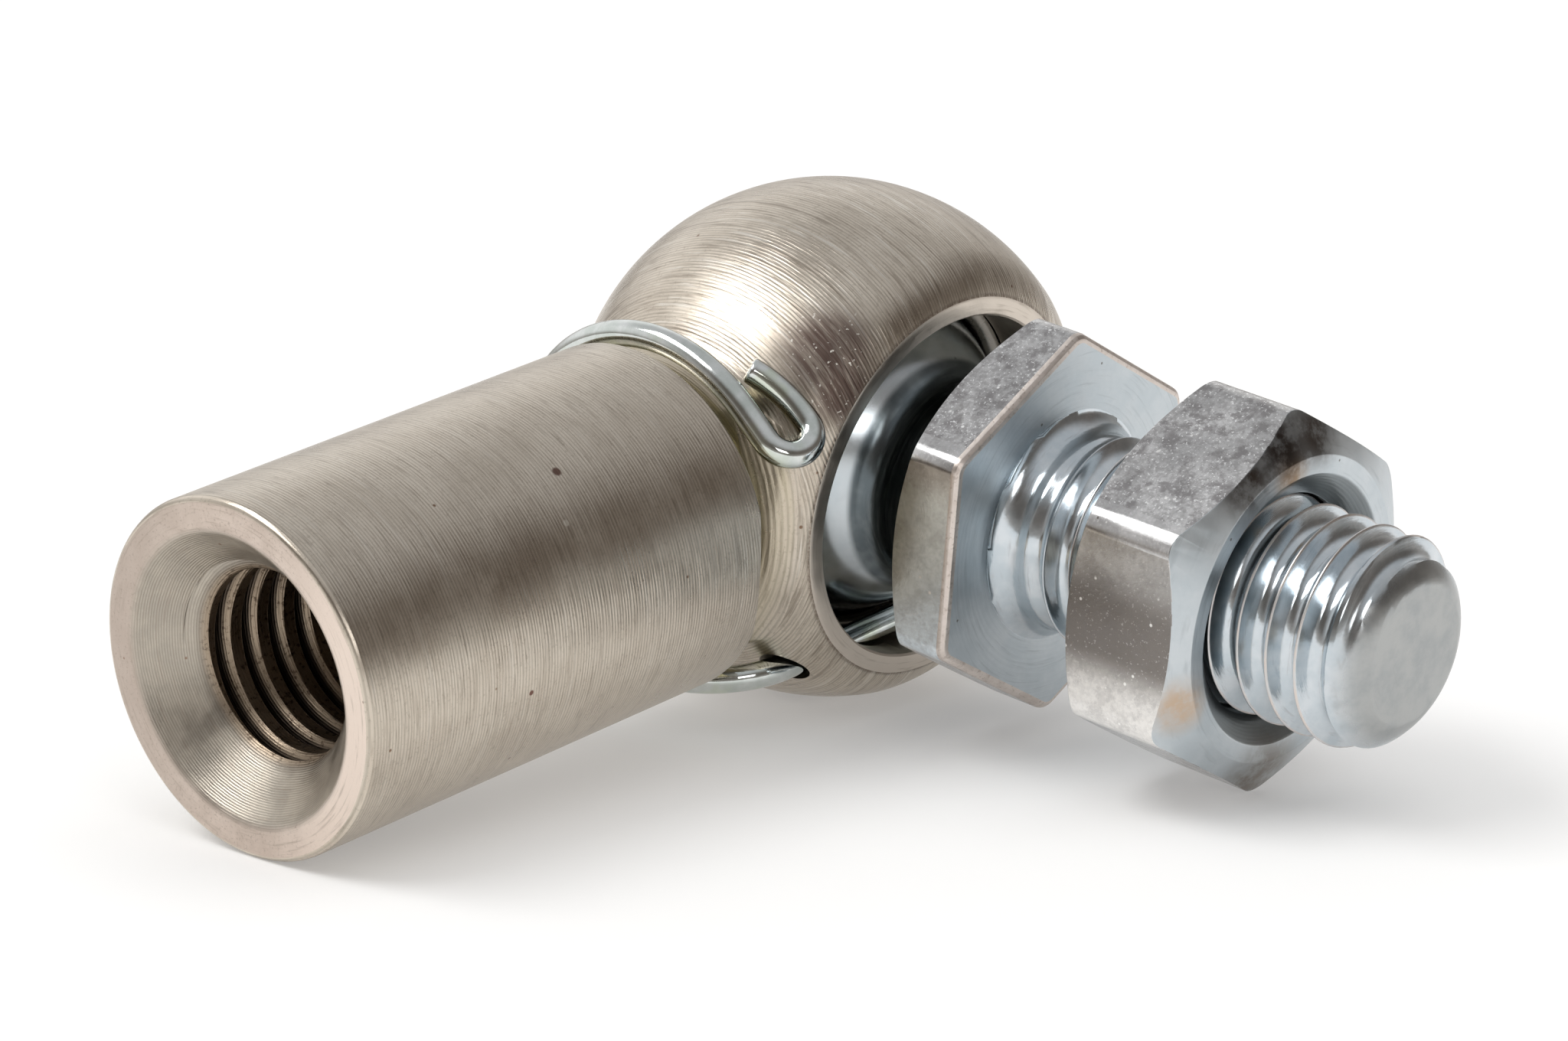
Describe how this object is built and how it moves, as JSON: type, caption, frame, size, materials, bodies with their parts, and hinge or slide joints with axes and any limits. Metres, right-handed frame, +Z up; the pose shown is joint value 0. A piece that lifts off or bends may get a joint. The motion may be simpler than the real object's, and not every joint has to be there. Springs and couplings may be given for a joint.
{
  "type": "angled ball joint rod end",
  "caption": "Ball joint rod end: tapped round shank with ball socket, threaded ball stud at a right angle with hexagon nut, sprung ring and wire safety clip.",
  "frame": {"origin": "on the surface it lies on, under the middle of its bounding box", "axes": "+Z up from the surface it lies on; the shank runs towards -X and the stud towards -Y, both dipped a few degrees as the part rests on head, shank end and nut"},
  "size_m": [0.0402, 0.0368, 0.0193],
  "materials": {
    "ball_socket": "turned and zinc plated, warm grey with fine lathe lines",
    "ball_stud": "bright bluish zinc, rolled thread",
    "hex_nut": "bright zinc with grainy flats",
    "spring_ring": "dark spring steel",
    "safety_clip": "bright zinc plated spring wire"
  },
  "bodies": {
    "socket": {"ball_socket": "ball_socket", "safety_clip": "safety_clip"},
    "ring": {"spring_ring": "spring_ring"},
    "stud": {"ball_stud": "ball_stud"},
    "nut": {"hex_nut": "hex_nut"}
  },
  "joints": [
    {"name": "stud_spin", "type": "hinge", "parent": "socket", "child": "ring", "pos_m": [0.01043, 0.00876, 0.00965], "axis": [0.018, -0.9858, -0.1671], "continuous": true},
    {"name": "stud_swing", "type": "hinge", "parent": "ring", "child": "stud", "pos_m": [0.01043, 0.00876, 0.00965], "axis": [-0.1062, -0.1206, 0.987], "range_deg": [-18, 18]},
    {"name": "nut_travel", "type": "slide", "parent": "stud", "child": "nut", "axis": [0.0129, -0.9927, -0.1199], "range_m": [-0.0048, 0.0045]}
  ]
}
